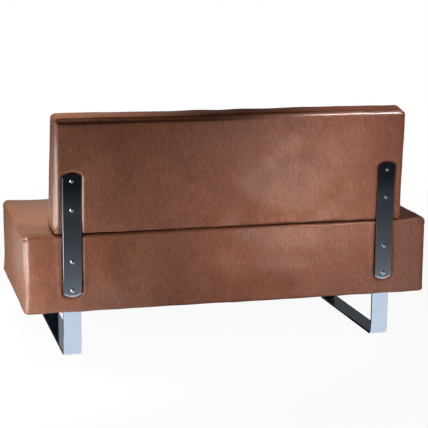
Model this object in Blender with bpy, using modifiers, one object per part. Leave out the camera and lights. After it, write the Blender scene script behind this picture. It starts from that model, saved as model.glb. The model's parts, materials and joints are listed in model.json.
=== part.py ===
"""Waiting room sofa: boxed leatherette seat, separate back slab, bent back bars and sled legs.

Metres, +Z up. The front faces -Y, the rear +Y, and the floor is Z = 0.
"""
import math

import bmesh
import bpy
from mathutils import Matrix, Vector

# Overall sizes
SEAT_WIDTH = 1.400
SEAT_DEPTH = 0.655
SEAT_THICKNESS = 0.2624
BACK_END_SETBACK = 0.100          # the back is shorter than the seat by this much at each end
BACK_HEIGHT = 0.378               # measured up the rear face
BACK_TOP_THICKNESS = 0.078
BACK_BOTTOM_THICKNESS = 0.165
BACK_TOP_RISE = 0.013             # front top edge above the rear top edge
BACK_RECLINE = math.radians(3.0)
BACK_SLIT = 0.0016                # between the seat's top and the back's underside

# Clearances
FIT_GAP = 0.0003                  # between pieces that seat on each other
BAR_LIFT = 0.0006                 # between a back bar and the cover under it
BORE_GAP = 0.0004                 # round a bolt in its hole
SOFT_BORE_GAP = 0.001             # round a bolt or screw in cover, foam and cloth

# Upholstery
EDGE_ROLL = 0.016
SEAT_CROWN = 0.006
BACK_CROWN = 0.010
SIDE_CROWN = 0.004
EDGE_DRAW = 0.003                 # how far a long edge pulls in between its corners
COVER_THICKNESS = 0.0012
HEM_WIDTH = 0.040
HEM_FOLD = 0.0025                 # room that the turned hem takes under the frame
HEM_ROOM = 0.010                  # foam ends this far above the turned hem
TOP_FOAM = 0.060
WRAP_FOAM = 0.010
CLOTH_THICKNESS = 0.0008
CLOTH_MARGIN = 0.012

# Timber
RAIL_THICKNESS = 0.022
DECK_THICKNESS = 0.012
DECK_VENT_DIAMETER = 0.060
DECK_VENT_COLUMNS = 4
DECK_VENT_ROWS = 2
BEARER_WIDTH = 0.090
BEARER_HEIGHT = 0.045
CROSS_RAIL_HEIGHT = 0.090
CORNER_BLOCK_LEG = 0.050
BACK_PANEL_THICKNESS = 0.018

# Back bars
BAR_INSET = 0.054                 # bar centre line in from the back's end
BAR_WIDTH = 0.060
BAR_THICKNESS = 0.006
BAR_LENGTH = 0.414
BAR_END_RISE = 0.012              # height of the shallow arc at each end
BAR_EDGE_ROUND = 0.0015
BAR_END_MARGIN = 0.023
BAR_BOLT_PITCH = 0.097
BAR_BEND_ABOVE_SEAT = 0.056
BAR_BEND_LENGTH = 0.020
BOLT_EDGE_DISTANCE = 0.016        # upper seat bolt below the rear rail's top edge
BOLT_ABOVE_BEND = 0.0276          # lower back bolt above the bar's bend
BAR_SHOULDER = 0.060              # flat upholstery beside a bar before the crown starts

# Legs
LEG_HEIGHT = 0.1572
LEG_BAR_WIDTH = 0.060
LEG_BAR_THICKNESS = 0.008
LEG_REAR_INSET = 0.015
LEG_FRONT_INSET = 0.097
LEG_FLOOR_RADIUS = 0.034          # outer radius of the two bends at the floor
LEG_TOP_RADIUS = 0.014            # outer radius of the two bends under the seat
LEG_FLANGE_LENGTH = 0.120
LEG_EDGE_ROUND = 0.0012
LEG_SCREW_PITCH = 0.050
LEG_SCREW_END_MARGIN = 0.025
GLIDE_DIAMETER = 0.024
GLIDE_THICKNESS = 0.0025
GLIDE_END_DISTANCE = 0.060

# Fasteners
BOLT_DIAMETER = 0.008
BOLT_HEAD_DIAMETER = 0.015
BOLT_HEAD_HEIGHT = 0.0045
BOLT_SOCKET_WIDTH = 0.005
BOLT_SOCKET_DEPTH = 0.0025
SCREW_DIAMETER = 0.006
SCREW_HEAD_DIAMETER = 0.012
SCREW_HEAD_HEIGHT = 0.0035
SCREW_SOCKET_WIDTH = 0.004
SCREW_SOCKET_DEPTH = 0.002
SCREW_GRIP = 0.032                # thread length inside the leg bearer
TNUT_BARREL_DIAMETER = 0.0104
TNUT_BARREL_LENGTH = 0.011
TNUT_FLANGE_DIAMETER = 0.020
TNUT_FLANGE_THICKNESS = 0.0015

ROUND_STEPS = 12
SOFT_HOLE_STEPS = 8
BEND_STEPS = 7
ARC_STEPS = 8

# Places that follow from the sizes above
SKIN = COVER_THICKNESS + 2 * FIT_GAP
SEAT_UNDERSIDE = LEG_HEIGHT + CLOTH_THICKNESS + 2 * FIT_GAP
SEAT_TOP = SEAT_UNDERSIDE + SEAT_THICKNESS
SEAT_REAR = SEAT_DEPTH / 2
BACK_WIDTH = SEAT_WIDTH - 2 * BACK_END_SETBACK
SUPPORT_X = BACK_WIDTH / 2 - BAR_INSET
FLAT_X = SUPPORT_X - BAR_WIDTH / 2 - BAR_SHOULDER

FRAME_INSET = SKIN + WRAP_FOAM + FIT_GAP
FRAME_WIDTH = SEAT_WIDTH - 2 * FRAME_INSET
FRAME_DEPTH = SEAT_DEPTH - 2 * FRAME_INSET
RAIL_BOTTOM = SEAT_UNDERSIDE + SKIN + HEM_FOLD
DECK_TOP = SEAT_TOP - SKIN - TOP_FOAM - FIT_GAP
DECK_BOTTOM = DECK_TOP - DECK_THICKNESS
RAIL_TOP = DECK_BOTTOM - FIT_GAP
RAIL_HEIGHT = RAIL_TOP - RAIL_BOTTOM
BETWEEN_RAILS = FRAME_DEPTH - 2 * RAIL_THICKNESS - 2 * FIT_GAP

BAR_FACE = SEAT_REAR + BAR_LIFT
BAR_BEND = SEAT_TOP + BAR_BEND_ABOVE_SEAT
SEAT_BOLT_TOP = RAIL_TOP - BOLT_EDGE_DISTANCE
SEAT_BOLTS = (SEAT_BOLT_TOP - BAR_BOLT_PITCH, SEAT_BOLT_TOP)
BAR_BOTTOM = SEAT_BOLTS[0] - BAR_END_MARGIN

BACK_BOTTOM = SEAT_TOP + BACK_SLIT
BACK_BEND_HEIGHT = (BAR_BEND - BACK_BOTTOM) / math.cos(BACK_RECLINE)
BACK_REAR = SEAT_REAR - (BAR_BEND - BACK_BOTTOM) * math.tan(BACK_RECLINE)
BACK_BOLT_TOP = BACK_BEND_HEIGHT + BAR_LENGTH - (BAR_BEND - BAR_BOTTOM) - BAR_END_MARGIN
BACK_BOLTS = (BACK_BEND_HEIGHT + BOLT_ABOVE_BEND, BACK_BOLT_TOP)
PANEL_REAR = -(SKIN + WRAP_FOAM + FIT_GAP)

# The reclined back stands out behind the seat, so the seat is moved forward to centre the whole
BACK_OVERHANG = (BACK_HEIGHT - BACK_BEND_HEIGHT) * math.sin(BACK_RECLINE) + SIDE_CROWN
CENTRE_SHIFT = -(BACK_OVERHANG - SIDE_CROWN) / 2

SIDES = (("left", 1), ("right", -1))


def clear_scene():
    for item in list(bpy.data.objects):
        bpy.data.objects.remove(item, do_unlink=True)


def make_collection(name):
    group = bpy.data.collections.new(name)
    bpy.context.scene.collection.children.link(group)
    return group


def make_material(name, colour, roughness, metallic=0.0):
    material = bpy.data.materials.new(name)
    material.use_nodes = True
    shader = material.node_tree.nodes["Principled BSDF"]
    shader.inputs["Base Color"].default_value = (*colour, 1.0)
    shader.inputs["Roughness"].default_value = roughness
    shader.inputs["Metallic"].default_value = metallic
    return material


clear_scene()
PARTS = make_collection("waiting_room_sofa")
CUTTERS = make_collection("cutters")

LEATHERETTE = make_material("brown_leatherette", (0.25, 0.095, 0.06), 0.38)
FOAM = make_material("cream_foam", (0.80, 0.72, 0.50), 0.95)
PINE = make_material("pine", (0.62, 0.43, 0.24), 0.65)
PLYWOOD = make_material("birch_plywood", (0.68, 0.51, 0.32), 0.60)
CLOTH = make_material("black_lining", (0.02, 0.02, 0.02), 0.95)
CHROME = make_material("chrome", (0.75, 0.76, 0.78), 0.08, 1.0)
ZINC = make_material("zinc_steel", (0.60, 0.61, 0.62), 0.35, 1.0)
PLASTIC = make_material("black_plastic", (0.03, 0.03, 0.03), 0.50)


def make_empty(name, location, tilt=0.0, parent=None):
    empty = bpy.data.objects.new(name, None)
    empty.location = location
    empty.rotation_euler = (tilt, 0.0, 0.0)
    empty.parent = parent
    PARTS.objects.link(empty)
    return empty


SOFA = make_empty("sofa", (0.0, CENTRE_SHIFT, 0.0))
BACK = make_empty("back_plane", (0.0, BACK_REAR, BACK_BOTTOM), -BACK_RECLINE, SOFA)


def mesh_from(name, form):
    mesh = bpy.data.meshes.new(name)
    form.to_mesh(mesh)
    form.free()
    return mesh


def make_part(name, mesh, material, parent=SOFA, location=(0, 0, 0), turn=(0, 0, 0)):
    part = bpy.data.objects.new(name, mesh)
    part.location = location
    part.rotation_euler = turn
    part.parent = parent
    if not mesh.materials:
        mesh.materials.append(material)
    PARTS.objects.link(part)
    return part


def shade_round(mesh, angle=35.0):
    mesh.shade_smooth()
    mesh.set_sharp_from_angle(angle=math.radians(angle))


def box_form(low, high):
    """A box between two corners, from a unit cube."""
    form = bmesh.new()
    bmesh.ops.create_cube(form, size=1.0)
    low, high = Vector(low), Vector(high)
    size = high - low
    place = Matrix.Translation((low + high) / 2) @ Matrix.Diagonal((*size, 1.0))
    bmesh.ops.transform(form, matrix=place, verts=form.verts)
    return form


def cut_lines(form, axis, places):
    """Edge loops round the form, square to an axis."""
    normal = Vector((axis == 0, axis == 1, axis == 2))
    for place in places:
        everything = form.verts[:] + form.edges[:] + form.faces[:]
        bmesh.ops.bisect_plane(form, geom=everything, dist=1e-6, plane_co=normal * place, plane_no=normal)


def hide_cutter(cutter, parent):
    cutter.parent = parent
    cutter.hide_render = True
    cutter.display_type = "WIRE"
    CUTTERS.objects.link(cutter)
    return cutter


def box_cutter(name, low, high, parent=SOFA):
    return hide_cutter(bpy.data.objects.new(name, mesh_from(name, box_form(low, high))), parent)


def hole_cutter(name, centres, axis, diameter, length, parent=SOFA, steps=ROUND_STEPS):
    """Round cutters of one size, side by side, along Y or Z."""
    form = bmesh.new()
    turn = Matrix.Rotation(math.pi / 2, 4, "X") if axis == "Y" else Matrix.Identity(4)
    for centre in centres:
        place = Matrix.Translation(centre) @ turn
        bmesh.ops.create_cone(form, cap_ends=True, segments=steps, radius1=diameter / 2,
                              radius2=diameter / 2, depth=length, matrix=place)
    return hide_cutter(bpy.data.objects.new(name, mesh_from(name, form)), parent)


def soft_holes(name, centres, axis, diameter, length, parent=SOFA):
    """Bolt or screw holes in cover, foam or cloth, with fewer sides and more room."""
    size = diameter + 2 * SOFT_BORE_GAP
    return hole_cutter(name, centres, axis, size, length, parent, SOFT_HOLE_STEPS)


def cut(part, cutter):
    step = part.modifiers.new(cutter.name, "BOOLEAN")
    step.operation = "DIFFERENCE"
    step.object = cutter
    step.solver = "EXACT"


def round_edges(part, width, segments=2, angle=40.0):
    step = part.modifiers.new("edge_round", "BEVEL")
    step.width = width
    step.segments = segments
    step.limit_method = "ANGLE"
    step.angle_limit = math.radians(angle)


def smooth_form(part):
    step = part.modifiers.new("soft_form", "SUBSURF")
    step.levels = 1
    step.render_levels = 1


def make_skin(part):
    step = part.modifiers.new("cover_thickness", "SOLIDIFY")
    step.thickness = COVER_THICKNESS
    step.offset = -1.0
    step.use_even_offset = True


def turned_mesh(name, profile, material, closed=False):
    """A turned piece from a profile of (radius, height) points that runs down its outer side."""
    form = bmesh.new()
    points = [form.verts.new((radius, 0.0, height)) for radius, height in profile]
    ends = list(zip(points, points[1:]))
    if closed:
        ends.append((points[-1], points[0]))
    for start, end in ends:
        form.edges.new((start, end))
    maker = bpy.data.objects.new(name, mesh_from(name, form))
    PARTS.objects.link(maker)
    step = maker.modifiers.new("turn", "SCREW")
    step.axis = "Z"
    step.steps = ROUND_STEPS
    step.render_steps = ROUND_STEPS
    step.use_merge_vertices = True
    step.merge_threshold = 0.00001
    return take_mesh(maker, name, material)


def take_mesh(maker, name, material):
    """The finished mesh of a helper object, which is then removed."""
    scene_state = bpy.context.evaluated_depsgraph_get()
    mesh = bpy.data.meshes.new_from_object(maker.evaluated_get(scene_state))
    mesh.name = name
    mesh.materials.clear()
    mesh.materials.append(material)
    bpy.data.objects.remove(maker, do_unlink=True)
    return mesh


def outline_form(name, points, thickness):
    """A flat outline in XY, filled and given its thickness along Z."""
    curve = bpy.data.curves.new(name, "CURVE")
    curve.dimensions = "2D"
    curve.fill_mode = "BOTH"
    curve.extrude = thickness / 2
    spline = curve.splines.new("POLY")
    spline.points.add(len(points) - 1)
    for spot, (across, along) in zip(spline.points, points):
        spot.co = (across, along, 0.0, 1.0)
    spline.use_cyclic_u = True
    maker = bpy.data.objects.new(name, curve)
    PARTS.objects.link(maker)
    mesh = take_mesh(maker, name, CHROME)
    form = bmesh.new()
    form.from_mesh(mesh)
    bpy.data.meshes.remove(mesh)
    bmesh.ops.remove_doubles(form, verts=form.verts, dist=1e-6)
    bmesh.ops.recalc_face_normals(form, faces=form.faces)
    return form


def swell(share):
    """Crown profile: full in the middle of a face, nothing at its edge."""
    return 1.0 - min(abs(share), 1.0) ** 4


def on(value, face):
    return abs(value - face) < 1e-5


def pull_in(vert, amount, at_end, at_front, at_rear):
    """Moves a vertex of the lower outline inward, so that the foam clears the rolled hem."""
    if at_end:
        vert.co.x -= math.copysign(amount, vert.co.x)
    vert.co.y += amount * (at_front - at_rear)


def open_underside(form, level, half_x, middle_y, half_y, slope=0.0):
    """Takes the underside away and turns its rim in as a hem, along the underside's slope."""
    under = [face for face in form.faces if all(vert.co.z < level for vert in face.verts)]
    bmesh.ops.delete(form, geom=under, context="FACES")
    rim = [edge for edge in form.edges if edge.is_boundary]
    turned = bmesh.ops.extrude_edge_only(form, edges=rim)["geom"]
    for vert in turned:
        if isinstance(vert, bmesh.types.BMVert):
            inward = (middle_y - vert.co.y) * HEM_WIDTH / half_y
            vert.co += Vector((-vert.co.x * HEM_WIDTH / half_x, inward, inward * slope))


# Seat upholstery

BACK_FRONT_LINE = BACK_REAR - BACK_BOTTOM_THICKNESS
SITTING_MIDDLE = (BACK_FRONT_LINE - SEAT_DEPTH / 2) / 2


def seat_form(inset, lift=0.0):
    """Boxed seat cage, drawn in by an inset and lifted off the hem, crowned in front of the back."""
    half_x = SEAT_WIDTH / 2 - inset
    half_y = SEAT_DEPTH / 2 - inset
    low, high = SEAT_UNDERSIDE + inset + lift, SEAT_TOP - inset
    middle = (low + high) / 2
    form = box_form((-half_x, -half_y, low), (half_x, half_y, high))
    roll_x = SEAT_WIDTH / 2 - EDGE_ROLL
    roll_y = SEAT_DEPTH / 2 - EDGE_ROLL
    cut_lines(form, 0, (-roll_x, -FLAT_X, 0.0, FLAT_X, roll_x))
    cut_lines(form, 1, (-roll_y, SITTING_MIDDLE, BACK_FRONT_LINE, roll_y))
    cut_lines(form, 2, (SEAT_UNDERSIDE + EDGE_ROLL, middle, SEAT_TOP - EDGE_ROLL))
    for vert in form.verts:
        x, y, z = vert.co
        along = swell(x / half_x)
        deep = swell(y / half_y)
        tall = swell((z - middle) / (high - middle))
        at_end, at_rear, at_front = on(abs(x), half_x), on(y, half_y), on(y, -half_y)
        if on(z, high) and on(y, SITTING_MIDDLE):
            vert.co.z += SEAT_CROWN * along
        if on(z, high) and on(y, BACK_FRONT_LINE):
            vert.co.z -= SEAT_CROWN * along / 6  # keeps the smoothed surface level under the back's front edge
        if at_end:
            vert.co.x += math.copysign(SIDE_CROWN * deep * tall, x)
        if at_front:
            vert.co.y -= SIDE_CROWN * along * tall
        if at_rear and abs(x) < FLAT_X / 2:
            vert.co.y += SIDE_CROWN * tall
        if on(z, high) and at_front:
            vert.co.y += EDGE_DRAW * along
        if on(z, low):
            pull_in(vert, lift / 2, at_end, at_front, at_rear)
    return form


def make_cover(name, form, parent, cutter):
    mesh = mesh_from(name, form)
    shade_round(mesh, 60.0)
    part = make_part(name, mesh, LEATHERETTE, parent)
    smooth_form(part)
    make_skin(part)
    cut(part, cutter)
    return part


def make_foam(name, form, parent, cutters):
    mesh = mesh_from(name, form)
    shade_round(mesh, 60.0)
    part = make_part(name, mesh, FOAM, parent)
    smooth_form(part)
    for cutter in cutters:
        cut(part, cutter)
    return part


def bolt_places(heights, y):
    return [(side * SUPPORT_X, y, height) for _, side in SIDES for height in heights]


def make_seat_upholstery():
    holes = bolt_places(SEAT_BOLTS, SEAT_REAR)
    reach = 2 * (FRAME_INSET + SIDE_CROWN)
    cover = seat_form(0.0)
    open_underside(cover, SEAT_UNDERSIDE + 1e-4, SEAT_WIDTH / 2, 0.0, SEAT_DEPTH / 2)
    make_cover("seat_cover", cover, SOFA, soft_holes("seat_cover_holes", holes, "Y", BOLT_DIAMETER, reach))
    cavity_x = FRAME_WIDTH / 2 + FIT_GAP
    cavity_y = FRAME_DEPTH / 2 + FIT_GAP
    cavity = box_cutter("seat_cavity", (-cavity_x, -cavity_y, SEAT_UNDERSIDE - WRAP_FOAM),
                        (cavity_x, cavity_y, DECK_TOP + FIT_GAP))
    tunnels = soft_holes("seat_foam_holes", holes, "Y", BOLT_DIAMETER, reach)
    make_foam("seat_foam", seat_form(SKIN, HEM_ROOM), SOFA, (cavity, tunnels))
    cloth_x = SEAT_WIDTH / 2 - CLOTH_MARGIN
    cloth_y = SEAT_DEPTH / 2 - CLOTH_MARGIN
    cloth_top = SEAT_UNDERSIDE - FIT_GAP
    cloth = box_form((-cloth_x, -cloth_y, cloth_top - CLOTH_THICKNESS), (cloth_x, cloth_y, cloth_top))
    part = make_part("seat_dust_cloth", mesh_from("seat_dust_cloth", cloth), CLOTH)
    cut(part, soft_holes("dust_cloth_holes", leg_screw_places(cloth_top), "Z", SCREW_DIAMETER,
                         10 * CLOTH_THICKNESS))


# Seat frame

def make_board(name, low, high, material=PINE):
    return make_part(name, mesh_from(name, box_form(low, high)), material)


def make_seat_frame():
    half_x, half_y = FRAME_WIDTH / 2, FRAME_DEPTH / 2
    inner_y = half_y - RAIL_THICKNESS
    make_board("seat_front_rail", (-half_x, -half_y, RAIL_BOTTOM), (half_x, -inner_y, RAIL_TOP))
    rear = make_board("seat_rear_rail", (-half_x, inner_y, RAIL_BOTTOM), (half_x, half_y, RAIL_TOP))
    nut_size = TNUT_BARREL_DIAMETER + 2 * BORE_GAP
    cut(rear, hole_cutter("rear_rail_holes", bolt_places(SEAT_BOLTS, half_y), "Y", nut_size,
                          4 * RAIL_THICKNESS))
    span = BETWEEN_RAILS / 2
    for label, side in SIDES:
        outer, inner = side * half_x, side * (half_x - RAIL_THICKNESS)
        make_board(f"seat_{label}_rail", (min(outer, inner), -span, RAIL_BOTTOM),
                   (max(outer, inner), span, RAIL_TOP))
        make_leg_bearer(label, side, span)
        for end, facing in (("front", -1), ("rear", 1)):
            make_corner_block(f"corner_block_{end}_{label}", side, facing)
    make_board("seat_cross_rail", (-RAIL_THICKNESS / 2, -span, RAIL_TOP - CROSS_RAIL_HEIGHT),
               (RAIL_THICKNESS / 2, span, RAIL_TOP))
    deck = make_board("seat_deck", (-half_x, -half_y, DECK_BOTTOM), (half_x, half_y, DECK_TOP), PLYWOOD)
    cut(deck, hole_cutter("deck_vents", vent_places(), "Z", DECK_VENT_DIAMETER, 4 * DECK_THICKNESS))


def vent_places():
    """Breathing holes in an even pattern that misses the rails under the deck."""
    column_pitch = FRAME_WIDTH / DECK_VENT_COLUMNS
    row_pitch = FRAME_DEPTH / DECK_VENT_ROWS
    return [((column + 0.5) * column_pitch - FRAME_WIDTH / 2, (row + 0.5) * row_pitch - FRAME_DEPTH / 2,
             DECK_TOP) for column in range(DECK_VENT_COLUMNS) for row in range(DECK_VENT_ROWS)]


def make_leg_bearer(label, side, span):
    middle = side * SUPPORT_X
    bearer = make_board(f"leg_bearer_{label}", (middle - BEARER_WIDTH / 2, -span, RAIL_BOTTOM),
                        (middle + BEARER_WIDTH / 2, span, RAIL_BOTTOM + BEARER_HEIGHT))
    places = [place for place in leg_screw_places(RAIL_BOTTOM) if place[0] * side > 0]
    depth = 2 * (SCREW_GRIP + FIT_GAP)
    cut(bearer, hole_cutter(f"leg_bearer_{label}_holes", places, "Z", SCREW_DIAMETER + 2 * BORE_GAP, depth))


def make_corner_block(name, side, facing):
    """Triangular glue block that ties a side rail to the front or rear rail."""
    corner_x = side * (FRAME_WIDTH / 2 - RAIL_THICKNESS - FIT_GAP)
    corner_y = facing * (BETWEEN_RAILS / 2)
    points = [(corner_x, corner_y), (corner_x - side * CORNER_BLOCK_LEG, corner_y),
              (corner_x, corner_y - facing * CORNER_BLOCK_LEG)]
    form = outline_form(name, points, RAIL_HEIGHT)
    bmesh.ops.translate(form, vec=(0, 0, RAIL_BOTTOM + RAIL_HEIGHT / 2), verts=form.verts)
    make_part(name, mesh_from(name, form), PINE)


# Back slab

def back_thickness(height):
    share = height / BACK_HEIGHT
    return BACK_BOTTOM_THICKNESS + (BACK_TOP_THICKNESS - BACK_BOTTOM_THICKNESS) * share


def back_form(inset, lift=0.0):
    """Wedge-shaped back cage in its own plane: Y = 0 is the rear face, Z runs up it."""
    half_x = BACK_WIDTH / 2 - inset
    rear, front = -inset, inset - BACK_BOTTOM_THICKNESS
    low, high = inset + lift, BACK_HEIGHT - inset
    middle = BACK_HEIGHT / 2
    core = -BACK_BOTTOM_THICKNESS / 2
    form = box_form((-half_x, front, low), (half_x, rear, high))
    roll_x = BACK_WIDTH / 2 - EDGE_ROLL
    cut_lines(form, 0, (-roll_x, -FLAT_X, 0.0, FLAT_X, roll_x))
    cut_lines(form, 1, (EDGE_ROLL - BACK_BOTTOM_THICKNESS, core, -EDGE_ROLL))
    cut_lines(form, 2, (EDGE_ROLL, middle, BACK_HEIGHT - EDGE_ROLL))
    for vert in form.verts:
        x, y, z = vert.co
        share = z / BACK_HEIGHT
        slack = BACK_BOTTOM_THICKNESS - back_thickness(z)
        along = swell(x / half_x)
        tall = swell((z - middle) / (high - middle))
        deep = swell((y - core) / (rear - core))
        if y < core + 1e-5:
            vert.co.y += slack / 2 if on(y, core) else slack
        if on(y, front):
            vert.co.y -= BACK_CROWN * along * tall
        if on(y, rear) and abs(x) < FLAT_X / 2:
            vert.co.y += SIDE_CROWN * tall
        if on(abs(x), half_x):
            vert.co.x += math.copysign(SIDE_CROWN * deep * tall, x)
        depth_share = -vert.co.y / back_thickness(z)
        vert.co.z += BACK_TOP_RISE * depth_share * share
        vert.co.z += vert.co.y * math.tan(BACK_RECLINE) * (1 - share)
        if on(z, high) and on(y, front):
            vert.co.z -= EDGE_DRAW * along
        if on(z, low):
            pull_in(vert, lift / 2, on(abs(x), half_x), on(y, front), on(y, rear))
    return form


def make_back():
    holes = bolt_places(BACK_BOLTS, 0.0)
    reach = 2 * (SKIN + WRAP_FOAM + SIDE_CROWN)
    cover = back_form(0.0)
    half_depth = BACK_BOTTOM_THICKNESS / 2
    open_underside(cover, EDGE_ROLL / 2, BACK_WIDTH / 2, -half_depth, half_depth, math.tan(BACK_RECLINE))
    make_cover("back_cover", cover, BACK,
               soft_holes("back_cover_holes", holes, "Y", BOLT_DIAMETER, reach, BACK))
    panel_x = BACK_WIDTH / 2 - FRAME_INSET
    panel_front = PANEL_REAR - BACK_PANEL_THICKNESS
    panel_low, panel_high = SKIN + HEM_FOLD, BACK_HEIGHT - FRAME_INSET
    panel = make_part("back_panel", mesh_from("back_panel", box_form((-panel_x, panel_front, panel_low),
                      (panel_x, PANEL_REAR, panel_high))), PLYWOOD, BACK)
    nut_size = TNUT_BARREL_DIAMETER + 2 * BORE_GAP
    cut(panel, hole_cutter("back_panel_holes", holes, "Y", nut_size,
                           4 * (BACK_PANEL_THICKNESS - PANEL_REAR), BACK))
    cavity = box_cutter("back_cavity", (-panel_x - FIT_GAP, panel_front - FIT_GAP, -2 * EDGE_ROLL),
                        (panel_x + FIT_GAP, PANEL_REAR + FIT_GAP, panel_high + FIT_GAP), BACK)
    tunnels = soft_holes("back_foam_holes", holes, "Y", BOLT_DIAMETER, reach, BACK)
    pocket_size = TNUT_FLANGE_DIAMETER + 2 * BORE_GAP
    pocket_depth = 2 * (TNUT_FLANGE_THICKNESS + 2 * FIT_GAP)
    pockets = hole_cutter("back_nut_pockets", bolt_places(BACK_BOLTS, panel_front), "Y", pocket_size,
                          pocket_depth, BACK)
    make_foam("back_foam", back_form(SKIN, HEM_ROOM), BACK, (cavity, tunnels, pockets))
    cloth_top = BACK_BOTTOM - FIT_GAP
    cloth_x = BACK_WIDTH / 2 - CLOTH_MARGIN
    cloth = box_form((-cloth_x, BACK_FRONT_LINE + CLOTH_MARGIN, cloth_top - CLOTH_THICKNESS),
                     (cloth_x, BACK_REAR - CLOTH_MARGIN, cloth_top))
    make_part("back_dust_cloth", mesh_from("back_dust_cloth", cloth), CLOTH)


# Back bars and their bolts

def bar_outline():
    """Flat bar with a shallow arc at each end, from its lower end up."""
    half = BAR_WIDTH / 2
    radius = (half ** 2 + BAR_END_RISE ** 2) / (2 * BAR_END_RISE)
    spread = math.asin(half / radius)
    points = []
    for centre, facing in ((radius, -1), (BAR_LENGTH - radius, 1)):
        for step in range(ARC_STEPS + 1):
            angle = spread * (2 * step / ARC_STEPS - 1) * -facing
            points.append((radius * math.sin(angle), centre + facing * radius * math.cos(angle)))
    return points


def make_back_bar(label, side):
    name = f"back_bar_{label}"
    form = outline_form(name, bar_outline(), BAR_THICKNESS)
    stand = Matrix.Translation((0, BAR_THICKNESS / 2, 0)) @ Matrix.Rotation(math.pi / 2, 4, "X")
    bmesh.ops.transform(form, matrix=stand, verts=form.verts)
    bend = BAR_BEND - BAR_BOTTOM
    for offset in (BAR_BEND_LENGTH / 2, -BAR_BEND_LENGTH / 2):
        line = bend + offset
        cut_lines(form, 2, (line,))
        above = [vert for vert in form.verts if vert.co.z > line + 1e-5]
        bmesh.ops.rotate(form, cent=(0, 0, line), verts=above,
                         matrix=Matrix.Rotation(-BACK_RECLINE / 2, 3, "X"))
    mesh = mesh_from(name, form)
    shade_round(mesh)
    bar = make_part(name, mesh, CHROME, SOFA, (side * SUPPORT_X, BAR_FACE, BAR_BOTTOM))
    round_edges(bar, BAR_EDGE_ROUND)
    hole_size = BOLT_DIAMETER + 2 * BORE_GAP
    seat_holes = [(side * SUPPORT_X, BAR_FACE, height) for height in SEAT_BOLTS]
    back_holes = [(side * SUPPORT_X, 0.0, height) for height in BACK_BOLTS]
    reach = 4 * BAR_THICKNESS
    cut(bar, hole_cutter(f"{name}_seat_holes", seat_holes, "Y", hole_size, reach))
    cut(bar, hole_cutter(f"{name}_back_holes", back_holes, "Y", hole_size, reach, BACK))


def fastener_mesh(name, sizes, length):
    """Domed socket head over a plain shank, head underside at Z = 0."""
    diameter, head_diameter, head_height, socket_width, socket_depth = sizes
    head = head_diameter / 2
    shank = diameter / 2
    rim = head_height * 0.35
    profile = [(0.0, head_height), (head * 0.55, head_height * 0.92), (head * 0.88, head_height * 0.66),
               (head, rim), (head, 0.0), (shank, 0.0), (shank, -length + shank / 2),
               (shank / 2, -length), (0.0, -length)]
    maker = bpy.data.objects.new(name, turned_mesh(name, profile, ZINC))
    PARTS.objects.link(maker)
    form = bmesh.new()
    socket = socket_width / math.sqrt(3)
    bmesh.ops.create_cone(form, cap_ends=True, segments=6, radius1=socket, radius2=socket,
                          depth=2 * socket_depth, matrix=Matrix.Translation((0, 0, head_height)))
    cutter = hide_cutter(bpy.data.objects.new(f"{name}_socket", mesh_from(f"{name}_socket", form)), None)
    cut(maker, cutter)
    mesh = take_mesh(maker, name, ZINC)
    bpy.data.objects.remove(cutter, do_unlink=True)
    shade_round(mesh)
    return mesh


def tnut_mesh():
    bore = BOLT_DIAMETER / 2 + BORE_GAP / 2
    barrel = TNUT_BARREL_DIAMETER / 2
    flange = TNUT_FLANGE_DIAMETER / 2
    profile = [(bore, TNUT_FLANGE_THICKNESS), (flange, TNUT_FLANGE_THICKNESS), (flange, 0.0), (barrel, 0.0),
               (barrel, -TNUT_BARREL_LENGTH), (bore, -TNUT_BARREL_LENGTH)]
    mesh = turned_mesh("tnut", profile, ZINC, closed=True)
    shade_round(mesh)
    return mesh


BOLT_SIZES = (BOLT_DIAMETER, BOLT_HEAD_DIAMETER, BOLT_HEAD_HEIGHT, BOLT_SOCKET_WIDTH, BOLT_SOCKET_DEPTH)
SCREW_SIZES = (SCREW_DIAMETER, SCREW_HEAD_DIAMETER, SCREW_HEAD_HEIGHT, SCREW_SOCKET_WIDTH,
               SCREW_SOCKET_DEPTH)


def make_bar_fasteners():
    """Bolts enter from the rear and end in the T-nuts behind the rail and the back panel."""
    nut = tnut_mesh()
    rail_inner = FRAME_DEPTH / 2 - RAIL_THICKNESS
    panel_inner = PANEL_REAR - BACK_PANEL_THICKNESS
    back_face = (BAR_FACE - SEAT_REAR) * math.cos(BACK_RECLINE) + BAR_THICKNESS
    groups = (("seat", SOFA, SEAT_BOLTS, BAR_FACE + BAR_THICKNESS, rail_inner),
              ("back", BACK, BACK_BOLTS, back_face, panel_inner))
    for group, parent, heights, face, inner in groups:
        head_seat = face + FIT_GAP
        length = head_seat - inner + TNUT_FLANGE_THICKNESS
        bolt = fastener_mesh(f"{group}_bolt", BOLT_SIZES, length)
        for label, side in SIDES:
            for level, height in zip(("lower", "upper"), heights):
                x = side * SUPPORT_X
                make_part(f"{group}_bolt_{label}_{level}", bolt, ZINC, parent, (x, head_seat, height),
                          (-math.pi / 2, 0, 0))
                make_part(f"{group}_tnut_{label}_{level}", nut, ZINC, parent,
                          (x, inner - FIT_GAP, height), (math.pi / 2, 0, 0))


# Legs, their screws and glides

LEG_REAR = SEAT_REAR - LEG_REAR_INSET
LEG_FRONT = LEG_FRONT_INSET - SEAT_REAR
LEG_BOTTOM = GLIDE_THICKNESS + FIT_GAP


def leg_screw_places(height):
    """Two screws in each inward flange of each leg."""
    places = []
    for _, side in SIDES:
        for end, inward in ((LEG_REAR, -1), (LEG_FRONT, 1)):
            last = end + inward * (LEG_FLANGE_LENGTH - LEG_SCREW_END_MARGIN)
            for y in (last - inward * LEG_SCREW_PITCH, last):
                places.append((side * SUPPORT_X, y, height))
    return places


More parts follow.
